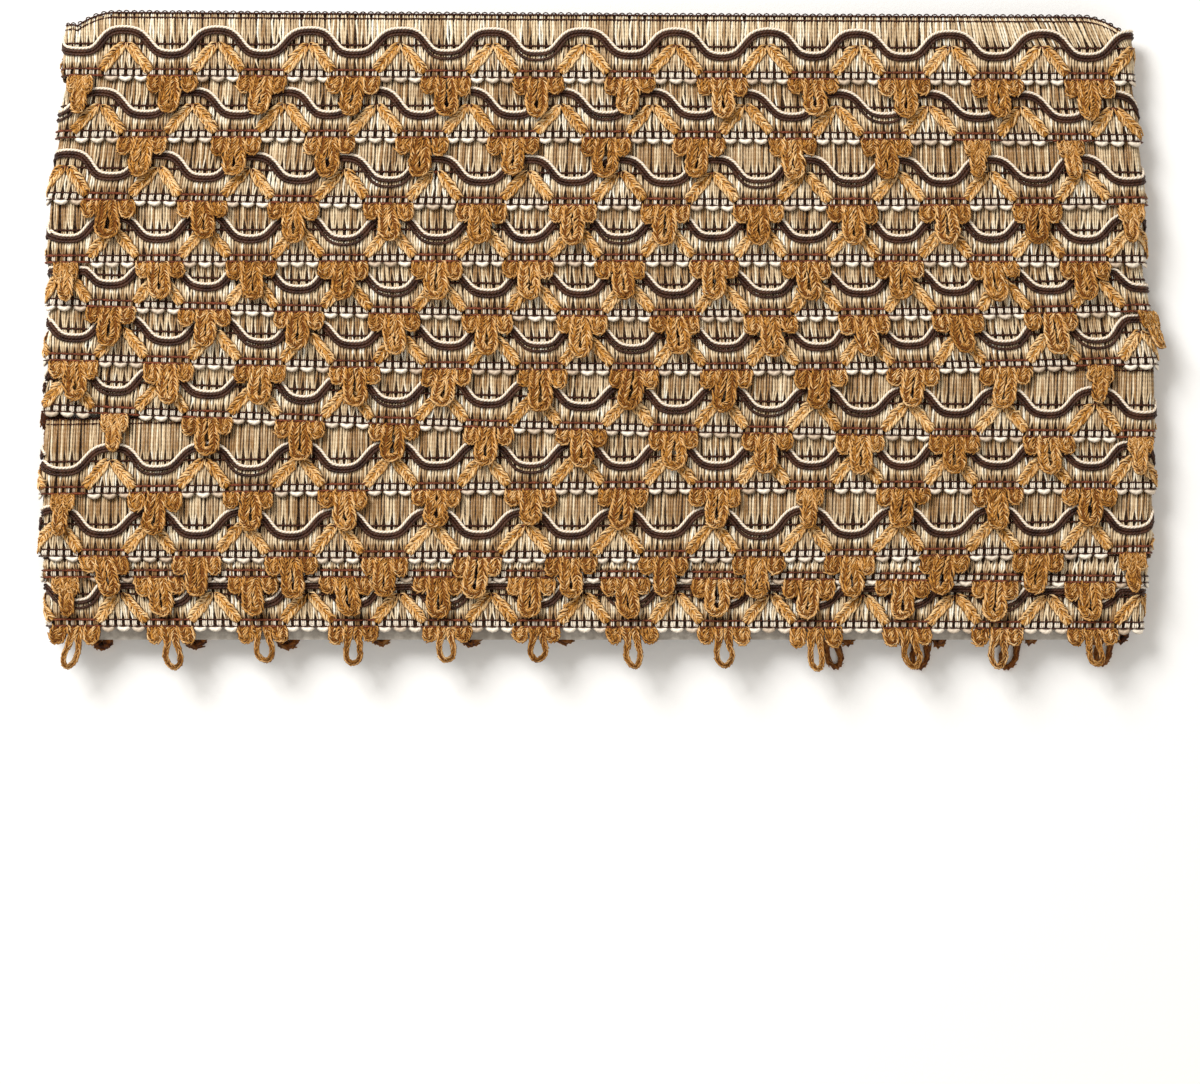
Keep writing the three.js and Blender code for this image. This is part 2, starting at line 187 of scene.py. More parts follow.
DROPPED, LAST_BUT_ONE, LAST = 7, 9, 10  # turns that differ from the rest, with the first as 0
# Each turn on the face: the height of its lower edge at the left, middle and right, where its outline
# ends at the left and right, the places of its first and last group of loops, and how many there are
measured = [
    ([74.2, 73.4, 72.8], [-150.4, 149.5], [-145.6, 136.6], 12),
    ([56.8, 56.6, 55.7], [-152.0, 151.5], [-127.7, 131.6], 11),
    ([39.5, 37.8, 38.1], [-154.6, 152.9], [-137.8, 148.7], 12),
    ([21.8, 22.1, 21.8], [-154.8, 152.6], [-149.5, 135.5], 12),
    ([9.8, 6.7, 8.1], [-154.8, 154.0], [-136.9, 152.9], 12),
    ([-5.6, -8.4, -6.7], [-155.4, 156.0], [-147.3, 140.3], 12),
    ([-19.9, -25.2, -27.2], [-156.0, 155.1], [-136.1, 151.5], 12),
    ([-43.1, -41.7, -41.7], [-156.8, 155.4], [-150.4, 137.5], 12),
    ([-60.5, -61.0, -59.6], [-156.8, 154.3], [-139.2, 149.2], 12),
    ([-66.4, -66.6, -68.0], [-156.2, 153.2], [-149.8, 137.2], 12),
    ([-80.1, -80.4, -80.9], [-154.8, 152.0], [-146.4, 137.8], 12),
]
FIRST_TAIL, FIRST_FOLD, FACE, RIGHT_FOLD, BACK, LEFT_FOLD = range(6)

turns = []
for number, (edge, outline, loops, groups) in enumerate(measured):
    is_last = number == LAST
    following = ([AFTER_LAST_LEFT], outline, [0, 0], 0) if is_last else measured[number + 1]
    turn = SimpleNamespace(number=number, label=f"{number + 1:02d}")
    turn.left, turn.right, turn.next_left = edge[0], edge[2], following[0][0]
    turn.bow = edge[1] - (edge[0] + edge[2]) / 2
    turn.fold_left = outline[0] + TURN_MIDDLE
    turn.fold_right = outline[1] - TURN_MIDDLE
    turn.next_fold_left = following[1][0] + TURN_MIDDLE
    turn.face = turn.fold_right - turn.fold_left
    turn.back = turn.fold_right - turn.next_fold_left
    turn.round = turn.face + turn.back + 2 * FOLD
    turn.starts = -FOLD - START_TAIL if number == 0 else TURN_START
    turn.ends = turn.face + FOLD + END_TAIL if is_last else turn.round + TURN_START
    turn.first_face = loops[0] - turn.fold_left
    face_step = (loops[1] - loops[0]) / (groups - 1)
    on_face = [turn.first_face + k * face_step for k in range(groups)]
    after = turn.ends if is_last else turn.round + following[2][0] - turn.next_fold_left
    steps = round((after - on_face[-1]) / REPEAT)
    step = REPEAT if is_last else (after - on_face[-1]) / steps
    behind = [on_face[-1] + k * step for k in range(1, steps + 1)]
    places = on_face + [at for at in behind if at < turn.ends - LOOP_NECK]
    while places[0] - REPEAT > turn.starts + LOOP_NECK:
        places.insert(0, places[0] - REPEAT)
    turn.places = np.array(places)
    turn.first_on_face = places.index(on_face[0])
    turns.append(turn)


def stretch(turn, along):
    """The stretch of a turn that a spot is on, the share of it that is passed, and the angle turned."""
    bends = [-FOLD, 0, turn.face, turn.face + FOLD, turn.face + FOLD + turn.back]
    zone = np.searchsorted(bends, along, side="right")
    behind = along - turn.face - FOLD
    shares = [-along - FOLD, 0 * along, along / turn.face, 0 * along + 1, behind / turn.back]
    share = np.choose(zone, shares + [0 * along + 1])
    folding = [along / TURN_MIDDLE, 0 * along, (along - turn.face) / TURN_MIDDLE]
    last_fold = math.pi + (behind - turn.back) / TURN_MIDDLE
    angle = np.choose(zone, [0 * along - math.pi] + folding + [0 * along + math.pi, last_fold])
    return zone, share, angle


def lies(turn, zone, share):
    """Where a turn's lower edge lies: how far across, and how high."""
    left, right = turn.fold_left, turn.fold_right
    back = right - share * turn.back
    across = [left + share, left + 0 * share, left + share * turn.face, right + 0 * share, back]
    slope = turn.left + (turn.right - turn.left) * share
    bowed = slope + 4 * turn.bow * share * (1 - share)
    falling = turn.right + (turn.next_left - turn.right) * share
    heights = [turn.left + 0 * share] * 2 + [bowed, turn.right + 0 * share, falling]
    x = np.choose(zone, across + [turn.next_fold_left + 0 * share])
    return x, np.choose(zone, heights + [turn.next_left + 0 * share])


def beside(turn, zone, share, step):
    """The same spot on the turn above (step -1) or below (step 1), or an open step away."""
    x, y = lies(turn, zone, share)
    number = turn.number + step
    if 0 <= number < len(turns):
        other_x, other_y = lies(turns[number], zone, share)
    else:
        other_x, other_y = x, y - step * OPEN_PITCH
    alone = zone == FIRST_TAIL
    other_x, other_y = np.where(alone, x, other_x), np.where(alone, y - step * OPEN_PITCH, other_y)
    if turn.number == 0 and step == -1:
        at_start = zone == LEFT_FOLD
        return np.where(at_start, turn.fold_left, other_x), np.where(at_start, turn.left, other_y)
    return other_x, other_y


def pitch(turn, along):
    """The step up to the turn above, which covers what is higher."""
    zone, share, _ = stretch(turn, along)
    return beside(turn, zone, share, -1)[1] - lies(turn, zone, share)[1]


def surface(turn, along, height):
    """How far the band's upper side stands over the slot: it leans on the turn below."""
    return np.maximum(BAND_THICK * (2 - height / pitch(turn, along)), BAND_THICK)


def wind(turn, flat, middle=None):
    """Moves points of the flat trim (along, height, lift) to their place on the card, in metres."""
    along, height, lift = (flat[..., k] for k in range(3))
    at = along if middle is None else np.broadcast_to(middle, along.shape)
    zone, share, angle = stretch(turn, at)
    own_x, own_y = lies(turn, zone, share)
    above_x, above_y = beside(turn, zone, share, -1)
    below_x, below_y = beside(turn, zone, share, 1)
    step = np.where(height > 0, above_y - own_y, own_y - below_y)
    part = np.minimum(abs(height) / step, 1)
    x = own_x + (np.where(height > 0, above_x, below_x) - own_x) * part
    x = x + np.sin(angle) * (CORE + lift) + np.cos(angle) * (along - at)
    z = np.cos(angle) * (CORE + lift) - np.sin(angle) * (along - at)
    z = np.maximum(z, -CORE - REST)
    return (np.stack([x, own_y + height, z], axis=-1) + to_frame) / 1000


def along_at(turn, number):
    """The distance along a turn of a repeat's number; whole numbers are the groups of loops."""
    count = len(turn.places)
    ends = turn.places[0] - 3 * REPEAT, turn.places[-1] + 3 * REPEAT
    return np.interp(number, np.r_[-3, np.arange(count), count + 2], np.r_[ends[0], turn.places, ends[1]])


def spread(turn, per_repeat, start):
    """Repeat numbers of what comes several times in each repeat, from end to end of a turn."""
    number = (np.arange(-3 * per_repeat, (len(turn.places) + 3) * per_repeat) + start) / per_repeat
    along = along_at(turn, number)
    return number[(along > turn.starts + 0.5) & (along < turn.ends - 0.5)]


def is_behind(turn, along):
    """Whether a spot of a turn lies behind the card."""
    zone = stretch(turn, along)[0]
    return (zone == BACK) | (zone == FIRST_TAIL)


TOP_DEPTH = 18.0  # of the first turn on the face, where it leans back over the card's edge
CORNER_DROP = 4.5  # what it loses at each rounded end, over this share of its length
CORNER_SHARE = 0.04
LEFT_FOLD_DEPTH = 14.5
RIGHT_FOLD_DEPTH = 13.4
BEHIND_DEPTH = 13.3  # where it comes round behind; it is whole again after this share of the back
BEHIND_SHARE = 0.2
TUCKED = 1.4  # how far the yarns go on under the turn above


def band_depth(turn, along):
    """How deep the band looks: the first turn leans back over the card and is rounded at its ends."""
    if turn.number > 0:
        return 0 * along + (DROPPED_DEPTH if turn.number == DROPPED else BAND_DEPTH)
    zone, share, _ = stretch(turn, along)
    corner = np.clip(1 - np.minimum(share, 1 - share) / CORNER_SHARE, 0, 1)
    rising = BEHIND_DEPTH + (BAND_DEPTH - BEHIND_DEPTH) * np.clip(share / BEHIND_SHARE, 0, 1)
    left, right = LEFT_FOLD_DEPTH + 0 * along, RIGHT_FOLD_DEPTH + 0 * along
    depths = [left, left, TOP_DEPTH - CORNER_DROP * corner**2, right, rising]
    return np.choose(zone, depths + [BAND_DEPTH + 0 * along])


def covered_from(turn, along):
    """The height from which the turn above covers the band, or the band's upper edge."""
    depth = band_depth(turn, along)
    uppermost = (turn.number == 0) & (stretch(turn, along)[0] != LEFT_FOLD)
    return np.where(uppermost, depth, np.minimum(pitch(turn, along) + TUCKED, depth))


def frames(path):
    """The direction of each path, its left side in the plane of the trim, and its upper side."""
    ahead = np.gradient(path, axis=1)
    ahead /= np.linalg.norm(ahead, axis=-1, keepdims=True)
    left = np.stack([-ahead[..., 1], ahead[..., 0], 0 * ahead[..., 0]], axis=-1)
    left /= np.maximum(np.linalg.norm(left, axis=-1, keepdims=True), 1e-6)
    return ahead, left, np.cross(ahead, left)


def rods(stations, sides, count):
    """Many closed round rods in one mesh, with the station, corner and copy of each point."""
    bm = bmesh.new()
    bmesh.ops.create_cone(bm, cap_ends=True, segments=sides, radius1=1, radius2=1, depth=1)
    long_edges = [e for e in bm.edges if abs(e.verts[0].co.z - e.verts[1].co.z) > 0.5]
    if stations > 2:
        bmesh.ops.subdivide_edges(bm, edges=long_edges, cuts=stations - 2, use_grid_fill=True)
    uv = bm.loops.layers.uv.new("yarn")
    for face in bm.faces:
        turned = [(math.atan2(c.vert.co.y, c.vert.co.x) / math.tau + 0.25) % 1 for c in face.loops]
        seam = max(turned) - min(turned) > 0.5
        for corner, way in zip(face.loops, turned):
            corner[uv].uv = (0, way + 1 if seam and way < 0.5 else way)
    one = bpy.data.meshes.new("rod")
    bm.to_mesh(one)
    points = np.array([v.co for v in one.vertices])
    station = np.rint((points[:, 2] + 0.5) * (stations - 1)).astype(int)
    angle = np.arctan2(points[:, 1], points[:, 0])
    rod = bpy.data.objects.new("rod", one)
    bpy.context.scene.collection.objects.link(rod)
    row = rod.modifiers.new("row", "ARRAY")
    row.use_relative_offset = False
    row.count = count
    row.use_constant_offset = True
    row.constant_offset_displace = (0, 0, 0)
    whole = bpy.data.meshes.new_from_object(rod.evaluated_get(bpy.context.evaluated_depsgraph_get()))
    bpy.data.objects.remove(rod)
    return whole, station, angle


def lay_yarns(name, turn, path, width, thick, sides, material, middle=None, tone=None):
    """Lays a yarn along each path (yarn, station, 3) of the flat trim, and winds them round the card."""
    count, stations, _ = path.shape
    mesh, station, angle = rods(stations, sides, count)
    ahead, left, up = frames(path)
    width = np.broadcast_to(width, (count, stations))[:, station, None]
    thick = np.broadcast_to(thick, (count, stations))[:, station, None]
    across, over = np.cos(angle)[None, :, None], np.sin(angle)[None, :, None]
    flat = path[:, station] + left[:, station] * across * width + up[:, station] * over * thick
    flat[..., 2] = np.maximum(flat[..., 2], 0.1)
    placed = wind(turn, flat, None if middle is None else np.asarray(middle)[:, None])
    mesh.vertices.foreach_set("co", placed.astype(np.float32).ravel())
    steps = np.linalg.norm(np.diff(path, axis=1), axis=-1)
    run = np.concatenate([np.zeros((count, 1)), np.cumsum(steps, axis=1)], axis=1)[:, station].ravel()
    of_corner = np.empty(len(mesh.loops), np.int32)
    mesh.loops.foreach_get("vertex_index", of_corner)
    uv = np.empty(len(mesh.loops) * 2, np.float32)
    mesh.uv_layers["yarn"].uv.foreach_get("vector", uv)
    uv[0::2] = run[of_corner]
    mesh.uv_layers["yarn"].uv.foreach_set("vector", uv)
    tone = np.broadcast_to(0.5 if tone is None else tone, (count, stations))[:, station]
    shade = mesh.attributes.new("tone", "FLOAT", "POINT")
    shade.data.foreach_set("value", tone.astype(np.float32).ravel())
    up_trim = mesh.attributes.new("height", "FLOAT", "POINT")
    up_trim.data.foreach_set("value", flat[..., 1].astype(np.float32).ravel())
    mesh.polygons.foreach_set("use_smooth", np.ones(len(mesh.polygons), bool))
    mesh.materials.clear()
    mesh.materials.append(material)
    mesh.update()
    piece = bpy.data.objects.new(name, mesh)
    bpy.context.scene.collection.objects.link(piece)
    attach(piece, "root")
    return piece


def stands_for(node_name):
    """Hides the solid that a piece replaces."""
    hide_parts(node_name)


# The ground of the band: dark brown cotton warp, close together, that shows only between the groups of
# weft. It is a thin woven sheet that is wound with the rest, and looks quite matt, with ribs of 1.1 mm.
# Its very dark brown is partly the warp's own colour and partly painted shade, deep in the gaps.
warp_ground_and_gap_shade, tree = new_material("cotton_warp_and_gap_shade")
place = node(tree, "TexCoord").outputs["Object"]
ribs = node(tree, "TexNoise", sockets={"Vector": place, "Scale": 900, "Detail": 2})
tone = node(tree, "ValToRGB", sockets={"Fac": ribs.outputs["Fac"]})
tone.color_ramp.elements[0].position = 0.35
tone.color_ramp.elements[0].color = linear("#1C0F08")
tone.color_ramp.elements[1].position = 0.7
tone.color_ramp.elements[1].color = linear("#4A3422")
relief = node(tree, "Bump", sockets={"Height": ribs.outputs["Fac"], "Distance": 0.0002})
finished(tree, {
    "Base Color": tone.outputs["Color"],
    "Roughness": 0.9,
    "Specular IOR Level": 0.1,
    "Normal": relief.outputs["Normal"],
})

GROUND_UNDER = 0.4  # how far the ground lies under the upper side of the weft
GROUND_LOW = 0.3  # its underside, over the slot for the card
GROUND_SHY = 0.3  # how far it stays back from the weft's upper ends
GROUND_START = 0.2  # and above the band's lower edge
for turn in turns:
    stops = np.unique(np.r_[
        turn.starts,
        np.linspace(-FOLD, 0, 9),
        np.linspace(0, turn.face, 51),
        np.linspace(turn.face, turn.face + FOLD, 9),
        np.linspace(turn.face + FOLD, turn.face + FOLD + turn.back, 25),
        np.linspace(turn.face + FOLD + turn.back, turn.round, 9),
        turn.ends,
    ])
    stops = stops[(stops >= turn.starts) & (stops <= turn.ends)]
    mesh, station, angle = rods(len(stops), 4, 1)
    along = stops[station]
    corner = np.rint(angle / math.tau * 4) % 4  # 0 and 1 on its upper edge, 1 and 2 on its upper side
    covered = covered_from(turn, along) - GROUND_SHY
    height = np.where(corner < 2, covered, GROUND_START)
    top = surface(turn, along, height) - GROUND_UNDER
    lift = np.where((corner == 1) | (corner == 2), top, GROUND_LOW)
    placed = wind(turn, np.stack([along, height, lift], -1))
    mesh.vertices.foreach_set("co", placed.astype(np.float32).ravel())
    mesh.materials.append(warp_ground_and_gap_shade)
    mesh.update()
    ground = bpy.data.objects.new(f"warp_ground_and_gap_shade_{turn.label}", mesh)
    bpy.context.scene.collection.objects.link(ground)
    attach(ground, "root")
    stands_for("wound_braid")

# The weft: glossy viscose rayon, spun in soft strands that lie side by side in groups of three. Each
# group is bound tight under the dark threads of the heading, and spreads and leans between them. Its
# long filaments give it a silky shine and fine streaks.
def twisted_yarn(tree, turn_length, ridges):
    """The place along and round a yarn, and how its surface rises and falls with its twist."""
    along_yarn = node(tree, "UVMap", {"uv_map": "yarn"})
    yarn = node(tree, "SeparateXYZ", sockets={0: along_yarn.outputs["UV"]})
    helix = {0: yarn.outputs["X"], 1: 1 / turn_length, 2: yarn.outputs["Y"]}
    turned = node(tree, "Math", {"operation": "MULTIPLY_ADD"}, helix)
    wave = node(tree, "Math", {"operation": "MULTIPLY"}, {0: turned.outputs[0], 1: math.tau * ridges})
    ridge = node(tree, "Math", {"operation": "SINE"}, {0: wave.outputs[0]})
    return yarn, ridge


def side_shade_mask(tree, yarn, start, end):
    """The mask of painted shade on a yarn's sides: 0 on its top and 1 low on its sides; the way round it is
    a half at the top.
    """
    side = node(tree, "Math", {"operation": "SUBTRACT"}, {0: yarn.outputs["Y"], 1: 0.5})
    from_top = node(tree, "Math", {"operation": "ABSOLUTE"}, {0: side.outputs[0]})
    reach = {"Value": from_top.outputs[0], "From Min": start, "From Max": end}
    return node(tree, "MapRange", sockets=reach)


STRAND_TWIST = 2.4  # mm for one turn of a strand's twist, drawn twice as long as it is so that it shows
rayon, tree = new_material("viscose_rayon_spun")
yarn, ridge = twisted_yarn(tree, STRAND_TWIST, 2)
place = node(tree, "TexCoord").outputs["Object"]
# Streaks of filaments, about 4 mm long and 0.7 mm across, which is coarser than they are
stretched = node(tree, "Mapping", sockets={"Vector": place, "Scale": (1500, 260, 1500)})
filaments = node(tree, "TexNoise", sockets={"Vector": stretched.outputs["Vector"], "Scale": 1, "Detail": 3})
lot = node(tree, "Attribute", {"attribute_name": "tone"}).outputs["Fac"]
mixed = node(tree, "Math", {"operation": "MULTIPLY_ADD"}, {0: filaments.outputs["Fac"], 1: 0.7, 2: lot})
tone = node(tree, "ValToRGB", sockets={"Fac": mixed.outputs[0]})
ramp = tone.color_ramp.elements
ramp[0].position = 0.3
ramp[0].color = linear("#987243")
ramp[1].position = 1.15 / 1.2
ramp[1].color = linear("#FFFBEC")
middle_tone = ramp.new(0.7)
middle_tone.color = linear("#E9D2AB")
side_shade = side_shade_mask(tree, yarn, 0.14, 0.4)
# The weft is palest in the heading's small cells and on the picots, except where the gold yarn is bound in:
# partly its own paler colour, partly a painted highlight on the pinched strands
up_trim = node(tree, "Attribute", {"attribute_name": "height"}).outputs["Fac"]
heading = {"Value": up_trim, "From Min": 2.3, "From Max": 1.6}
near_heading = node(tree, "MapRange", {"clamp": True}, heading).outputs["Result"]
clean = node(tree, "MapRange", {"clamp": True}, {"Value": lot, "From Min": -0.3, "From Max": 0.0})
cell = node(tree, "Math", {"operation": "MULTIPLY"}, {0: near_heading, 1: clean.outputs["Result"]})
pale = {0: cell.outputs[0], 6: tone.outputs["Color"], 7: linear("#FBEEDA")}
bright = node(tree, "Mix", {"data_type": "RGBA"}, pale)
# Painted shade between the strands, low on their sides, a little less over the middle line where they spread
over_middle = {"Value": up_trim, "From Min": 8, "From Max": 10.5, "To Min": 1, "To Max": 0.7}
calmer = node(tree, "MapRange", sockets=over_middle).outputs["Result"]
shaded = node(tree, "Math", {"operation": "MULTIPLY"}, {0: side_shade.outputs["Result"], 1: calmer})
between = {0: shaded.outputs[0], 6: bright.outputs[2], 7: linear("#573814")}
deep = node(tree, "Mix", {"data_type": "RGBA"}, between)
relief = node(tree, "Bump", sockets={"Height": ridge.outputs[0], "Distance": 0.00006, "Strength": 0.6})
finished(tree, {
    "Base Color": deep.outputs[2],
    "Roughness": 0.4,
    "Specular IOR Level": 0.4,
    "Sheen Weight": 0.1,
    "Normal": relief.outputs["Normal"],
})

WEFT_GROUPS = 12  # in one repeat
GROUP_FACE = [-0.72, 0, 0.72]  # the strands of a group, across it
GROUP_BEHIND = [-0.54, 0.54]
STRAND_FREE = 0.52  # half the width of a strand, and where a warp thread binds it
STRAND_BOUND = 0.33
CLOSED_UP = 0.64  # the share of a group's width that is left where it is bound
HEADING_TOP = 2.2  # the spots above it move down where the turn above covers more
PULLED = 4.0  # how far the first turn's upper weft slants, from this share of its length over the next
PULLED_FROM = 0.82
PULLED_OVER = 0.1
rng = np.random.default_rng(41)


def weft_strands(turn, numbers, offsets, heights, bound):
    """Paths of the strands of weft of a turn, and how wide and how bright each is at each station."""
    strands, stations = len(offsets), len(heights) + 1
    groups = along_at(turn, numbers) + rng.normal(0, 0.07, len(numbers))
    low = np.array(heights) < 3
    free = ~np.array(bound, bool)
    wander = rng.normal(0, 1, (len(numbers), strands, stations)) * np.where(free, 0.12, 0.04)
    at = groups[:, None, None] + np.array(offsets)[None, :, None] * np.where(free, 1.0, CLOSED_UP) + wander
    at += rng.normal(0, 0.1, (len(numbers), 1, 1)) * np.linspace(0, 1, stations)
    near_end = np.clip((groups / turn.face - PULLED_FROM) / PULLED_OVER, 0, 1)
    pulled = PULLED * near_end * (turn.number == 0)
    at[..., 7:] -= pulled[:, None, None] * np.linspace(0, 1, max(stations - 6, 1))[1:]
    top = covered_from(turn, groups - pulled)[:, None] - 0.1
    fit = np.minimum((top - HEADING_TOP) / (max(heights) - 0.6), 1)
    height = np.where(low, heights, HEADING_TOP + (np.array(heights) - HEADING_TOP) * fit)
    height = np.concatenate([height, top], axis=1)
    height = np.broadcast_to(height[:, None], at.shape) + rng.normal(0, 0.05, at.shape)
    sunk = np.where(free, 0.05, -0.2)
    sunk[0] = -0.4
    sunk[1] = 0.15
    lift = surface(turn, at, height) + sunk + rng.normal(0, 0.05, at.shape)
    path = np.stack([at, height, lift], axis=-1).reshape(-1, stations, 3)
    wide = np.where(free, STRAND_FREE, STRAND_BOUND)
    tone = np.broadcast_to(rng.uniform(0.0, 0.55, (len(path), 1)), path.shape[:2]).copy()
    to_loops = abs(numbers - np.rint(numbers)).repeat(strands)
    tone[:, :3] -= np.where(to_loops < 0.25, 0.45, 0)[:, None]  # dull where the gold yarn is bound in
    # Painted shade: the weft under the turn above is painted darker
    tone[:, 7:] -= 0.0 if turn.number == 0 else 0.2  # and less bright, under the turn above
    width = np.broadcast_to(wide, path.shape[:2]) * rng.uniform(0.88, 1.12, (len(path), 1))
    return path, width, tone


for turn in turns:
    numbers = spread(turn, WEFT_GROUPS, 0.5)
    behind = is_behind(turn, along_at(turn, numbers))
    heights, bound = [-0.25, 0.9, 2.2, 4.4, 6.5, 8.5, 9.6, 12.4], [1, 1, 1, 0, 0, 1, 1, 0, 0]
    if turn.number == 0:  # its upper heading shows
        heights, bound = heights + [15.6], bound[:-1] + [0, 1]
    path, width, tone = weft_strands(turn, numbers[~behind], GROUP_FACE, heights, bound)
    piece = lay_yarns(f"weft_{turn.label}", turn, path, width, 0.3, 3, rayon, tone=tone)
    stands_for("wound_braid")
    heights, bound = [-0.25, 0.9, 2.2, 9.2], [1, 1, 1, 1, 0]
    path, width, tone = weft_strands(turn, numbers[behind], GROUP_BEHIND, heights, bound)
    wider = width * 1.4
    piece = lay_yarns(f"weft_behind_{turn.label}", turn, path, wider, 0.34, 3, rayon, tone=tone)
    stands_for("wound_braid")

# The warp threads that bind the weft: dark brown mercerised cotton in two plies. Two run along each
# heading and one along the middle of the band, over every group of weft, and dip between the groups.
# They have a low gloss, and look reddish where they cross the gold yarn.
WARP_TWIST = 1.1  # mm for one turn of the two plies, drawn twice as long as it is so that it shows
mercerised, tree = new_material("mercerised_cotton_dark")
_, ridge = twisted_yarn(tree, WARP_TWIST, 1)
over_gold = node(tree, "Attribute", {"attribute_name": "tone"}).outputs["Fac"]
# Painted shade: the grooves of the twist are painted darker
groove_shade = {"Value": ridge.outputs[0], "From Min": -1, "To Min": 0.0, "To Max": 0.3}
dark = node(tree, "MapRange", sockets=groove_shade)
reddish = node(tree, "Math", {"operation": "MULTIPLY_ADD"}, {0: over_gold, 1: 0.6, 2: dark.outputs[0]})
tone = node(tree, "ValToRGB", sockets={"Fac": reddish.outputs[0]})
tone.color_ramp.elements[0].color = linear("#1C0A03")
tone.color_ramp.elements[1].color = linear("#924C30")
relief = node(tree, "Bump", sockets={"Height": ridge.outputs[0], "Distance": 0.0001})
finished(tree, {
    "Base Color": tone.outputs["Color"],
    "Roughness": 0.6,
    "Specular IOR Level": 0.2,
    "Normal": relief.outputs["Normal"],
})

HEADING_LINES = [0.0, 1.85]
MIDDLE_LINE = 9.0
OVER_WEFT = 0.26  # how far a thread's middle stands over the weft, and how far it dips and rises
DIP = 0.14


def stops_along(turn, fine, coarse, starts=None, ends=None):
    """Stations from end to end of a turn: close together on the face and folds, far apart behind."""
    starts, ends = starts or turn.starts, ends or turn.ends
    every = np.arange(starts, ends, fine)
    behind = is_behind(turn, every)
    keep = ~behind | (np.arange(len(every)) % round(coarse / fine) == 0)
    return np.append(every[keep], ends)


def repeat_number(turn, along):
    """The repeat's number at a distance along a turn."""
    count = len(turn.places)
    ends = turn.places[0] - 3 * REPEAT, turn.places[-1] + 3 * REPEAT
    return np.interp(along, np.r_[ends[0], turn.places, ends[1]], np.r_[-3, np.arange(count), count + 2])


def warp_line(turn, stops, height):
    """The path of one thread over the weft."""
    number = repeat_number(turn, stops)
    dip = DIP * np.cos(math.tau * WEFT_GROUPS * number)
    lift = surface(turn, stops, height) + OVER_WEFT - dip
    return np.stack([stops, height + rng.normal(0, 0.03, len(stops)), lift], axis=-1)[None], number


for turn in turns:
    stops = stops_along(turn, REPEAT / 24, REPEAT / 6)
    low = [warp_line(turn, stops, 0 * stops + line) for line in HEADING_LINES]
    middle = np.minimum(MIDDLE_LINE, covered_from(turn, stops) - 2)
    lines = low + [warp_line(turn, stops, middle)]
    path = np.concatenate([line for line, _ in lines])
    share = abs(lines[0][1] - np.rint(lines[0][1]))
    over_loops = np.clip((0.29 - share) / 0.05, 0, 1)  # the threads are thicker over the gold yarn
    over_point = np.clip((share - 0.46) / 0.02, 0, 1)
    gold = np.stack([over_loops, over_loops, over_point])
    gold *= rng.uniform(0.1, 1.1, gold.shape)
    path[..., 2] += gold * [[0.12], [0.2], [0.3]]
    wide = [[0.25], [0.27], [0.34]] + gold * [[0.16], [0.16], [0.3]]
    piece = lay_yarns(f"warp_lines_{turn.label}", turn, path, wide, 0.24, 3, mercerised, tone=gold)
    stands_for("wound_braid")

# The upper heading: two more threads along the band's upper edge, of the same dark cotton.
# It shows on the first turn, and where the eighth has dropped clear of the turn above it.
SHORTEST_LINE = 8  # stations, for a thread that is worth laying
EDGE_CLEAR = 0.6  # how much of the upper edge may be covered where it still shows
for turn in turns:
    stops = stops_along(turn, REPEAT / 24, REPEAT / 12)
    zone = stretch(turn, stops)[0]
    shows = covered_from(turn, stops) > band_depth(turn, stops) - EDGE_CLEAR
    shows &= zone != FIRST_TAIL
    if shows.sum() < SHORTEST_LINE:
        continue
    stops = stops[shows]
    deep = band_depth(turn, stops)
    path = np.concatenate([warp_line(turn, stops, deep - below)[0] for below in (0.2, 1.5)])
    piece = lay_yarns(f"upper_warp_{turn.label}", turn, path, 0.32, 0.24, 3, mercerised, tone=0.0)
    stands_for("wound_braid")

# Picots: where two groups of weft turn back round the edge thread they stand out below it as small
# half moons of the same rayon, painted a little brighter, partly as a painted highlight. The gold loops
# cover the rest of the edge. Beyond the upper edge they are smaller and made by the dark thread.
def eased(points, stations):
    """A smooth path through some points (copies, point, values), in even steps."""
    t = np.linspace(0, points.shape[1] - 1, stations)
    k = np.minimum(t.astype(int), points.shape[1] - 2)
    f = (t - k)[None, :, None]
    first, last = 2 * points[:, :1] - points[:, 1:2], 2 * points[:, -1:] - points[:, -2:-1]
    padded = np.concatenate([first, points, last], axis=1)
    a, b, c, d = padded[:, k], padded[:, k + 1], padded[:, k + 2], padded[:, k + 3]
    return b + (c - a) / 2 * f + (a - 2.5 * b + 2 * c - d / 2) * f**2 + (1.5 * (b - c) + (d - a) / 2) * f**3


def picots(turn, numbers, edge, way, scale=1.0, stations=7):
    """Paths of small arcs beyond an edge of the band: way is -1 below it and 1 above."""
    middle = along_at(turn, numbers) + rng.normal(0, 0.08, len(numbers))
    arc = np.array([(-1.4, -0.3), (-1.1, 0.45), (0, 0.85), (1.1, 0.45), (1.4, -0.3)]) * scale
    size = rng.uniform(0.88, 1.1, len(numbers))[:, None]
    along = middle[:, None] + arc[:, 0]
    height = edge[:, None] + way * arc[:, 1] * size
    lift = surface(turn, middle, edge)[:, None] + np.array([-0.1, 0.1, 0.2, 0.1, -0.1])
    return eased(np.stack([along, height, lift], axis=-1), stations)


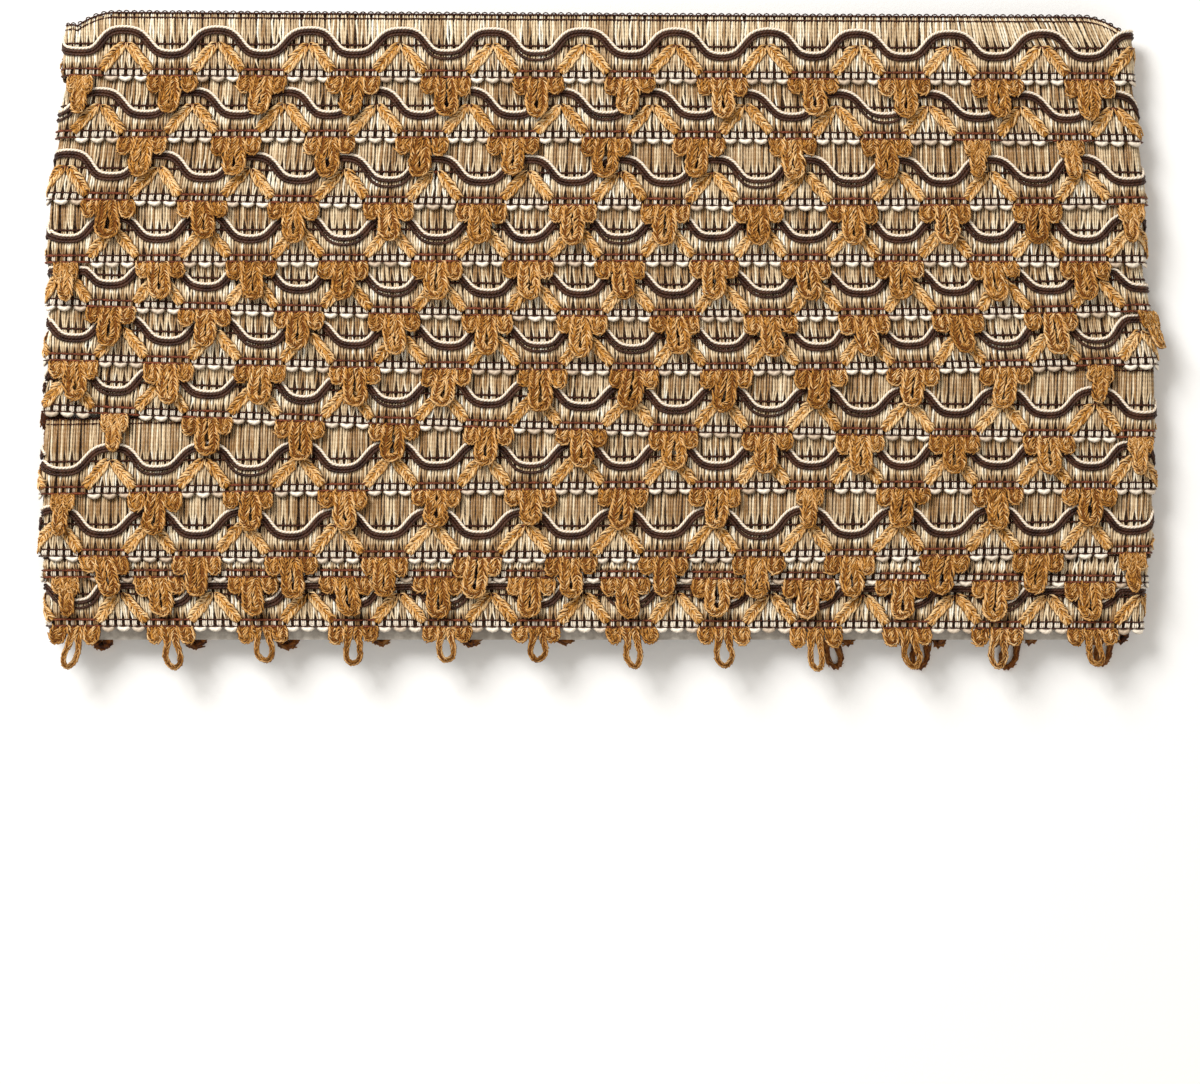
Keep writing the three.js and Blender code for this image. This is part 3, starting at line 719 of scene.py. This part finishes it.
for turn in turns:
    numbers = np.concatenate([spread(turn, 1, 0.5 + part / WEFT_GROUPS) for part in (-2, 0, 2)])
    path = picots(turn, numbers, 0 * numbers - 0.1, -1)
    tone = rng.uniform(-0.2, 0.1, (len(path), 1))
    piece = lay_yarns(f"picots_{turn.label}", turn, path, 0.72, 0.36, 4, rayon, tone=tone)
    stands_for("wound_braid")
    numbers = spread(turn, WEFT_GROUPS, 0)
    along = along_at(turn, numbers)
    shows = covered_from(turn, along) > band_depth(turn, along) - EDGE_CLEAR
    numbers = numbers[shows & (stretch(turn, along)[0] != FIRST_TAIL)]
    if len(numbers):
        edge = band_depth(turn, along_at(turn, numbers))
        path = picots(turn, numbers, edge, 1, scale=0.55, stations=5)
        piece = lay_yarns(f"upper_picots_{turn.label}", turn, path, 0.2, 0.2, 3, mercerised, tone=0)
        stands_for("wound_braid")

# The scroll cords: two smooth twisted cords of dark brown rayon with a thinner cream one along their
# upper side, couched on the band in a wave that is low over each group of loops and high between.
# They are closely twisted, so they shine softly along their tops.
CORD_TWIST = 2.0  # mm for one turn of the cord
brown_cord, tree = new_material("viscose_cord_brown_twisted")
_, ridge = twisted_yarn(tree, CORD_TWIST, 2)
place = node(tree, "TexCoord").outputs["Object"]
dust = node(tree, "TexNoise", sockets={"Vector": place, "Scale": 420, "Detail": 3})
# The twist's grooves are painted a little darker, as painted shade, over a random tone
uneven = {0: ridge.outputs[0], 1: 0.12, 2: dust.outputs["Fac"]}
mixed = node(tree, "Math", {"operation": "MULTIPLY_ADD"}, uneven)
tone = node(tree, "ValToRGB", sockets={"Fac": mixed.outputs[0]})
tone.color_ramp.elements[0].position = 0.3
tone.color_ramp.elements[0].color = linear("#25120A")
tone.color_ramp.elements[1].position = 0.75
tone.color_ramp.elements[1].color = linear("#50301F")
relief = node(tree, "Bump", sockets={"Height": ridge.outputs[0], "Distance": 0.0001, "Strength": 0.5})
finished(tree, {
    "Base Color": tone.outputs["Color"],
    "Roughness": 0.5,
    "Specular IOR Level": 0.2,
    "Normal": relief.outputs["Normal"],
})

cream_cord, tree = new_material("viscose_cord_cream_twisted")
_, ridge = twisted_yarn(tree, CORD_TWIST, 2)
# Painted shade and highlight: the twist's grooves are painted darker and its ridges paler
groove_shade = node(tree, "MapRange", sockets={"Value": ridge.outputs[0], "From Min": -1})
tone = node(tree, "ValToRGB", sockets={"Fac": groove_shade.outputs[0]})
tone.color_ramp.elements[0].color = linear("#D8BC9A")
tone.color_ramp.elements[1].position = 0.6
tone.color_ramp.elements[1].color = linear("#FCEFDC")
relief = node(tree, "Bump", sockets={"Height": ridge.outputs[0], "Distance": 0.0001, "Strength": 0.5})
finished(tree, {"Base Color": tone.outputs["Color"], "Roughness": 0.45, "Normal": relief.outputs["Normal"]})

CORD_TROUGH = 5.9
CORD_PEAK = 12.6
COVER_CLEARANCE = 2.6  # how far the cords stay below the edge of the turn above
CROWDED_PITCH = 10.0  # turns closer than this leave no room for a cord
STRAND_HALF = 0.44
CREAM_HALF = 0.4
CORD_LIFT = 0.62  # of a cord's middle over the weft
CREAM_ABOVE = 1.36  # the cream cord's middle over that of the two brown ones
WAVE_SQUARE = 1.5  # how flat the wave is at its tops and bottoms


def scroll_wave(turn, along):
    """The height of the cords' middle along a turn."""
    swing = -np.cos(math.tau * repeat_number(turn, along))
    wave = np.tanh(WAVE_SQUARE * swing) / math.tanh(WAVE_SQUARE)
    height = (CORD_TROUGH + CORD_PEAK) / 2 + (CORD_PEAK - CORD_TROUGH) / 2 * wave
    return np.minimum(height, pitch(turn, along) - COVER_CLEARANCE)


def offset(path, across):
    """A path beside another one, to its left."""
    return path + frames(path)[1] * across


def wandering(numbers, size):
    """A slow random drift along a turn, one value for each half repeat and smooth between."""
    knots = np.arange(-4, numbers.max() + 2, 0.5)
    return np.interp(numbers, knots, rng.normal(0, size, len(knots)))


for turn in turns:
    look = np.arange(turn.starts + 0.15, turn.ends, 1.0)
    clear = look[pitch(turn, look) >= CROWDED_PITCH]
    stops = stops_along(turn, REPEAT / 20, REPEAT / 10, clear[0], clear[-1] + 0.8)
    numbers = repeat_number(turn, stops)
    heights = scroll_wave(turn, stops + wandering(numbers, 0.35)) + wandering(numbers, 0.16)
    middle = np.stack([stops, heights, 0 * stops], axis=-1)[None]
    # Here and there the lower brown cord hangs slack in a trough
    slack = np.maximum(rng.uniform(-1.4, 0.8, 40), 0)[np.rint(numbers).astype(int)]
    slack = slack * np.clip(np.cos(math.tau * numbers), 0, 1) ** 0.7
    strands = [offset(middle, across) for across in (-STRAND_HALF, STRAND_HALF, CREAM_ABOVE)]
    strands[0][0, :, 1] -= slack
    for strand in strands:
        strand[..., 2] = surface(turn, strand[..., 0], strand[..., 1]) + CORD_LIFT
        strand[..., 2] += rng.normal(0, 0.04, strand.shape[:2])
    cord_node = f"scroll_cord_{turn.label}"
    brown = np.concatenate(strands[:2])
    piece = lay_yarns(f"brown_cords_{turn.label}", turn, brown, STRAND_HALF, STRAND_HALF, 5, brown_cord)
    stands_for(cord_node)
    cream = strands[2]
    piece = lay_yarns(f"cream_cord_{turn.label}", turn, cream, CREAM_HALF, CREAM_HALF, 5, cream_cord)
    stands_for(cord_node)

# The loops: a soft gold chainette yarn, knitted from matt cotton, that is caught in the heading and
# hangs below it in groups of three, a long loop between two short ones. Each yarn is a core with two
# rows of short slanting stitches on it, in pairs like a V. It looks matt, and streaky with its fibres.
chainette, tree = new_material("cotton_chainette_knitted")
along_yarn = node(tree, "UVMap", {"uv_map": "yarn"})
yarn = node(tree, "SeparateXYZ", sockets={0: along_yarn.outputs["UV"]})
lot = node(tree, "Attribute", {"attribute_name": "tone"}).outputs["Fac"]
drawn = node(tree, "Math", {"operation": "MULTIPLY"}, {0: yarn.outputs["X"], 1: 0.5})
round_it = node(tree, "Math", {"operation": "MULTIPLY"}, {0: yarn.outputs["Y"], 1: 4.5})
lots_apart = node(tree, "Math", {"operation": "MULTIPLY"}, {0: lot, 1: 71.0})
spots = {0: drawn.outputs[0], 1: round_it.outputs[0], 2: lots_apart.outputs[0]}
streak = node(tree, "CombineXYZ", sockets=spots)
# Streaks of about 1.3 mm along the yarn, a seventh of the way round it
streaks = {"Vector": streak.outputs[0], "Scale": 1.6, "Detail": 2, "Roughness": 0.6, "Distortion": 0.6}
fibres = node(tree, "TexNoise", sockets=streaks)
mixed = node(tree, "Math", {"operation": "MULTIPLY_ADD"}, {0: lot, 1: 0.3, 2: fibres.outputs["Fac"]})
tone = node(tree, "ValToRGB", sockets={"Fac": mixed.outputs[0]})
ramp = tone.color_ramp.elements
ramp[0].position = 0.46
ramp[0].color = linear("#6A3A0C")
ramp[1].position = 0.88
ramp[1].color = linear("#FFDEA8")
middle_tone = ramp.new(0.64)
middle_tone.color = linear("#CB8E3A")
# Painted shade: the chainette's low sides are painted darker, by a multiply
side_shade = side_shade_mask(tree, yarn, 0.14, 0.34)
under = {0: side_shade.outputs["Result"], 6: tone.outputs["Color"], 7: linear("#A0825E")}
deep = node(tree, "Mix", {"data_type": "RGBA", "blend_type": "MULTIPLY"}, under)
relief = node(tree, "Bump", sockets={"Height": fibres.outputs["Fac"], "Distance": 0.0003, "Strength": 0.8})
finished(tree, {
    "Base Color": deep.outputs[2],
    "Roughness": 0.85,
    "Specular IOR Level": 0.15,
    "Sheen Weight": 0.05,
    "Normal": relief.outputs["Normal"],
})

LONG_LOOP = 11.7  # how low a long loop hangs, over its outer edge
STITCH = 0.46  # mm at most for half a stitch, drawn twice as long as it is so that it shows
CORE_UNDER = 0.2  # how far the core lies under the stitches
LONG_YARN, SHORT_YARN = 26, 13  # mm of yarn allowed for a loop, about 3 more than is drawn
ROOT_LIFT = 2.9  # how far a loop's middle stands over the slot at its root
ROOT_HEIGHT = 0.8  # how high in the heading that is
LOOP_SLOPE = 0.19  # it rises towards its end, over the cord of the turn below
CROWDED_LIFT = 0.5  # and lies higher where the heading of the turn below is close
BELOW_CLEAR = 1.8  # behind the card a loop ends this far over the edge of the turn below
SHORTEST_LOOP = 3.5
TRIM_END = 58  # across, where the trim's last end lies behind the card
HANGING_TO = -87  # how low the loops past it hang
NEAR_FOLD = 5.1  # groups this close to a fold stand on edge
SQUEEZED = 0.42  # of its width is left of a group that stands on edge
twisted = [(1, 9), (1, 10), (5, 11), (6, 0), (7, 8)]  # turn and group, from none, that stand on edge
# Half a long loop, from its root to the middle of its end, and a whole short one. Their numbers are
# across, height and half the yarn's width.
long_half = [(1.2, 0.1, 1.35), (1.3, -0.8, 1.5), (1.5, -3.0, 1.65), (1.75, -5.5, 1.75), (1.9, -8.0, 1.7),
             (1.35, -9.7, 1.55), (0, -10.3, 1.4)]
short_left = [(-5.7, 0.1, 1.25), (-5.8, -0.6, 1.45), (-5.9, -1.8, 1.5), (-5.9, -3.0, 1.5),
              (-5.6, -3.8, 1.45), (-4.85, -4.2, 1.4), (-4.1, -3.8, 1.45), (-3.8, -3.0, 1.5),
              (-3.75, -1.8, 1.5), (-3.6, -0.6, 1.45), (-3.6, 0.1, 1.25)]


def pitch_below(turn, along):
    """The step down to the turn below."""
    zone, share, _ = stretch(turn, along)
    return lies(turn, zone, share)[1] - beside(turn, zone, share, 1)[1]


def loops_of(turn, places, outline, squeeze, length, lean, stations):
    """Yarn paths of one loop of each group, with their half widths."""
    across, height, half = np.array(outline, float).T
    across = across * squeeze[:, None] * rng.normal(1, 0.06, (len(places), 1))
    across = across + squeeze[:, None] * rng.normal(0, 0.12, across.shape) * (height < 0)
    height = np.where(height < 0, height * length[:, None] / LONG_LOOP, height)
    height = height + np.where(height < -2, rng.normal(0, 0.25, (len(places), 1)), 0)
    across = across + lean[:, None] * np.maximum(-height, 0) / LONG_LOOP
    crowded = np.where(pitch_below(turn, places) < CROWDED_PITCH, CROWDED_LIFT, 0)
    free = ROOT_LIFT + LOOP_SLOPE * (ROOT_HEIGHT - height) + crowded[:, None]
    hangs = np.maximum(-height, 0) / LONG_LOOP
    free = free + rng.normal(0, 0.12, (len(places), 1)) * hangs
    at_fold = np.isin(stretch(turn, places)[0], (RIGHT_FOLD, LEFT_FOLD))
    free = free + (at_fold * rng.uniform(0.5, 3.5, len(places)))[:, None] * hangs**2
    lift = np.where(height > 0, surface(turn, places[:, None], np.maximum(height, 0)) + 0.02, free)
    half = np.broadcast_to(half, across.shape)
    shaped = eased(np.stack([places[:, None] + across, height, lift, half], axis=-1), stations)
    return shaped[..., :3], shaped[..., 3]


def knitted(path, half):
    """The stitches on each yarn as short paths, with their half widths."""
    _, left, up = frames(path)
    first = np.arange(0, path.shape[1] - 5, 2)[:, None] + [0, 3, 5]
    stitches, widths = [], []
    for side in (-1, 1):
        across = side * half[:, first] * ([0.8, 0.6, 0.15] + rng.normal(0, 0.12, (len(path), *first.shape)))
        over = np.array([[-0.05], [0.2], [0.05]]) + rng.normal(0, 0.06, (len(path), *first.shape, 1))
        stitch = path[:, first] + left[:, first] * across[..., None] + up[:, first] * over
        stitches.append(stitch.reshape(-1, 3, 3))
        widths.append((half[:, first] * [0.14, 0.3, 0.12]).reshape(-1, 3))
    return np.concatenate(stitches), np.concatenate(widths)


def lay_chainette(name, turn, path, half, middle=None, thick=0.36, pale=0.0):
    """Lays a knitted yarn along each path: its core, and the stitches on it."""
    # The core, which shows between the stitches, is painted darker than they are, and the stitches paler:
    # painted shade and painted light
    tone = rng.uniform(-0.4, 0.1, (len(path), 1)) + 2 * pale
    core, core_half = path[:, ::3].copy(), half[:, ::3] * 0.95
    core[..., 2] -= CORE_UNDER
    own_name = f"{name}_core_{turn.label}"
    pieces = [lay_yarns(own_name, turn, core, core_half, thick, 3, chainette, middle, tone)]
    stitches, width = knitted(path, half)
    each = len(stitches) // len(path) // 2
    if middle is not None:
        middle = np.tile(np.repeat(middle, each), 2)
    tone = np.tile(np.repeat(rng.uniform(0, 0.3, len(path)) + pale, each), 2)[:, None]
    tone = tone + rng.uniform(0, 0.7, (len(stitches), 1))
    own_name = f"{name}_{turn.label}"
    pieces.append(lay_yarns(own_name, turn, stitches, width, thick, 3, chainette, middle, tone))
    for piece in pieces:
        stands_for(f"loop_edge_{turn.label}")


open_half = long_half[:2] + [(1.25, -3.0, 1.3), (1.6, -5.5, 1.0), (2.0, -8.0, 0.9), (1.5, -10.3, 0.9),
                             (0, -11.5, 0.9)]
long_whole = [(-x, y, half) for x, y, half in long_half] + long_half[-2::-1]
open_whole = [(-x, y, half) for x, y, half in open_half] + open_half[-2::-1]
short_right = [(-x, y, half) for x, y, half in short_left[::-1]]
for turn in turns:
    places = turn.places
    zone, share, _ = stretch(turn, places)
    bends = np.array([0, turn.face, turn.face + FOLD, turn.face + FOLD + turn.back])
    near = abs(places[:, None] - bends).min(axis=1) < NEAR_FOLD
    turned = [(turn.number, k - turn.first_on_face) in twisted for k in range(len(places))]
    behind = is_behind(turn, places)
    on_edge = near | np.array(turned) | ~(behind | (zone == FACE))
    squeeze = np.where(on_edge, SQUEEZED, 1.0)
    to_next = np.maximum(pitch_below(turn, places) - BELOW_CLEAR, SHORTEST_LOOP)
    room = np.where(behind, to_next, LONG_LOOP)
    if turn.number == LAST_BUT_ONE:  # past the end of the trim its loops hang free, and show under the card
        x, y = lies(turn, zone, share)
        room = np.where(behind & (x < TRIM_END), y - HANGING_TO, room)
    lowest = turn.number == LAST
    length = np.minimum(LONG_LOOP + rng.uniform(-2.2 if lowest else -0.9, 0.2, len(places)), room)
    lean = rng.normal(0, 1.3 if lowest else 0.8, len(places))
    hanging = open_whole if lowest else long_whole
    for outline, yarn_run, name in [
        (hanging, LONG_YARN, "long"),
        (short_left, SHORT_YARN, "left"),
        (short_right, SHORT_YARN, "right"),
    ]:
        front = [part[~behind] for part in (places, squeeze, length, lean)]
        path, half = loops_of(turn, front[0], outline, *front[1:], round(yarn_run / STITCH))
        lay_chainette(f"{name}_loops", turn, path, half, front[0])
        if behind.any():  # there the stitches are twice as coarse
            back = [part[behind] for part in (places, squeeze, length, lean)]
            path, half = loops_of(turn, back[0], outline, *back[1:], yarn_run)
            # Behind the card the loops are painted paler: painted light, against the shade they lie in
            lay_chainette(f"{name}_loops_behind", turn, path, half, back[0], thick=0.42, pale=0.25)

# The chevrons: the same gold yarn runs up from both sides of each group of loops and meets in a point
# on the middle line, under each top of the scroll cords. It is the same matt cotton, painted a little
# paler there: painted light. One leg: across, height and half the yarn's width, from the heading up to
# the point
leg = [(-6.8, 1.4, 1.4), (-5.9, 2.6, 1.7), (-4.5, 4.4, 1.85), (-3.1, 6.1, 1.85), (-1.7, 7.8, 1.7),
       (-0.3, 9.4, 1.1)]
LEG_YARN = 11  # mm of yarn allowed for it
LEG_LIFT = 0.55  # of its middle over the weft; the right leg lies over the left one
RIGHT_OVER_LEFT = 0.12
for turn in turns:
    numbers = spread(turn, 1, 0.5)
    at = along_at(turn, numbers)
    at = at[pitch(turn, at) > CROWDED_PITCH]
    if not len(at):
        continue
    paths, halves = [], []
    for side in (-1, 1):
        across, height, half = np.array(leg, float).T
        height = height + rng.normal(0, 0.12, (len(at), 1))
        along = at[:, None] - side * across + rng.normal(0, 0.15, (len(at), 1))
        lift = surface(turn, along, height) + LEG_LIFT + (RIGHT_OVER_LEFT if side > 0 else 0)
        points = np.stack([along, height, lift, np.broadcast_to(half, along.shape)], axis=-1)
        shaped = eased(points, round(LEG_YARN / STITCH))
        paths.append(shaped[..., :3])
        halves.append(shaped[..., 3])
    path, half = np.concatenate(paths), np.concatenate(halves)
    behind = np.tile(is_behind(turn, at), 2)
    lay_chainette("chevrons", turn, path[~behind], half[~behind], thick=0.26, pale=0.3)
    if behind.any():
        path, half = path[behind][:, ::2], half[behind][:, ::2]
        lay_chainette("chevrons_behind", turn, path, half, thick=0.3, pale=0.35)

size = {"cad": [list(corner) for corner in cad_size], "visual": [list(corner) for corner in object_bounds()]}
